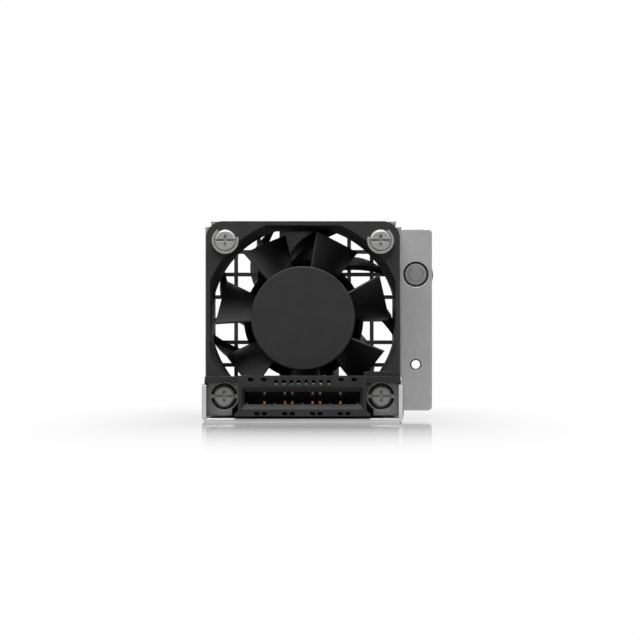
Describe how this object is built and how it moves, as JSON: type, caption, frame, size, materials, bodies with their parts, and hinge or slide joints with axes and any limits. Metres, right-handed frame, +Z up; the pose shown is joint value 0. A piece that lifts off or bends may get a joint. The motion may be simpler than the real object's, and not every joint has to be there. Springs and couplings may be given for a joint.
{
  "type": "hot-swappable fan module",
  "caption": "Small axial fan in a folded sheet tray with a grille faceplate, a blind-mate connector at the front and a captive panel screw on its ear.",
  "frame": {"origin": "on the tray's underside, on the fan's centre line, in the plane of the fan's intake face", "axes": "+Z up from the tray's floor, +Y out of the chassis towards the faceplate, +X towards the ear with the captive screw"},
  "size_m": [0.0492, 0.0548, 0.0421],
  "materials": {
    "sheet_steel": "satin, lightly brushed",
    "black_plastic": "fine moulded texture",
    "impeller_plastic": "smooth moulded",
    "connector_plastic": "fine moulded texture",
    "screw_steel": "nickel-plated, turned",
    "rotor_steel": "drawn, oiled",
    "magnet": "bonded ferrite",
    "brass": "turned",
    "bearing_steel": "ground and polished",
    "cage_steel": "pressed",
    "spring_steel": "drawn wire",
    "lamination": "stamped and stacked",
    "insulator": "moulded",
    "winding": "enamelled copper wire",
    "board": "solder-masked laminate",
    "chip": "moulded package",
    "contact_copper": "plated copper alloy",
    "signal_gold": "gold-plated",
    "knob_metal": "nickel-plated, fluted"
  },
  "bodies": {
    "root": {"tray": "sheet_steel", "faceplate": "sheet_steel", "top_flange": "sheet_steel", "fan_frame": "black_plastic", "motor_base": "black_plastic", "bearing_outer_rings": "bearing_steel", "bearing_tube": "brass", "stator_core": "lamination", "stator_insulators": "insulator", "stator_coils": "winding", "motor_board": "board", "driver_chip": "chip", "fan_screws": "screw_steel", "fan_screw_collars": "screw_steel", "connector_carrier": "connector_plastic", "connector_housing": "connector_plastic", "connector_contacts_upper": "contact_copper", "connector_contacts_lower": "contact_copper", "connector_signal_tips": "signal_gold", "connector_board": "board", "thumbscrew_ferrule": "screw_steel", "thumbscrew_spring": "spring_steel"},
    "rotor": {"impeller": "impeller_plastic", "rotor_yoke": "rotor_steel", "rotor_magnet": "magnet", "shaft_boss": "brass", "rotor_shaft": "bearing_steel", "shaft_clip": "spring_steel", "preload_spring": "spring_steel", "bearing_inner_rings": "bearing_steel"},
    "ball_sets": {"bearing_balls": "bearing_steel", "bearing_cages": "cage_steel"},
    "thumbscrew_slider": {"thumbscrew_washer": "screw_steel"},
    "thumbscrew": {"thumbscrew_knob": "knob_metal", "thumbscrew_screw": "screw_steel"}
  },
  "joints": [
    {"name": "impeller_spin", "type": "hinge", "parent": "root", "child": "rotor", "pos_m": [0, 0.014, 0.02122], "axis": [0, -1, 0], "continuous": true},
    {"name": "ball_set_spin", "type": "hinge", "parent": "root", "child": "ball_sets", "pos_m": [0, 0.014, 0.02122], "axis": [0, -1, 0], "continuous": true},
    {"name": "thumbscrew_slide", "type": "slide", "parent": "root", "child": "thumbscrew_slider", "axis": [0, -1, 0], "range_m": [0, 0.004], "stiffness_N_per_m": 300, "springref_m": -0.002, "deforming": ["thumbscrew_spring"]},
    {"name": "thumbscrew_turn", "type": "hinge", "parent": "thumbscrew_slider", "child": "thumbscrew", "pos_m": [0.02433, 0.037, 0.0311], "axis": [0, -1, 0], "continuous": true}
  ],
  "couplings": [
    {"joint": "ball_set_spin", "follows": "impeller_spin", "ratio": 0.41}
  ]
}
